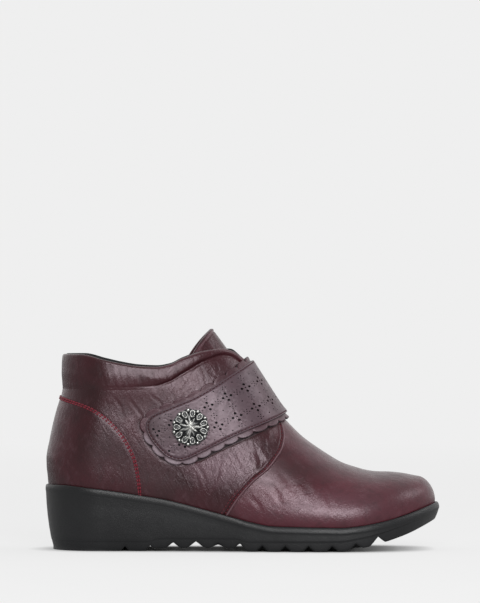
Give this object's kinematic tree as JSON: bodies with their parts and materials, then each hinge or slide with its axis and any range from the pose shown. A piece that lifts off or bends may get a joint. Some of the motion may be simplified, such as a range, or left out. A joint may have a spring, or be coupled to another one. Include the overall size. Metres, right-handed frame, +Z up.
{
  "type": "wedge ankle boot",
  "caption": "Right-foot women's leather ankle boot on a notched wedge sole, with a scalloped, punched instep strap and a flower-shaped metal button.",
  "frame": {"origin": "under the middle of the boot's outer bounds, on the floor", "axes": "+X towards the toe, -Y towards the outer side of the foot, +Z up"},
  "size_m": [0.2602, 0.0922, 0.1457],
  "materials": {
    "sole_rubber": "charcoal moulded rubber, fine matt texture",
    "insole_textile": "black textile over foam",
    "upper_leather": "burgundy antiqued leather with soft gloss",
    "tongue_leather": "burgundy leather with dark lining",
    "edging_leather": "burgundy leather, scallop cut",
    "strap_leather": "burgundy punched leather with soft gloss",
    "antique_metal": "antiqued silver, dark in the recesses"
  },
  "bodies": {
    "root": {"sole_unit": "sole_rubber", "insole": "insole_textile", "upper": "upper_leather", "tongue": "tongue_leather", "strap_edging": "edging_leather", "strap": "strap_leather", "flower_button": "antique_metal"}
  },
  "joints": []
}
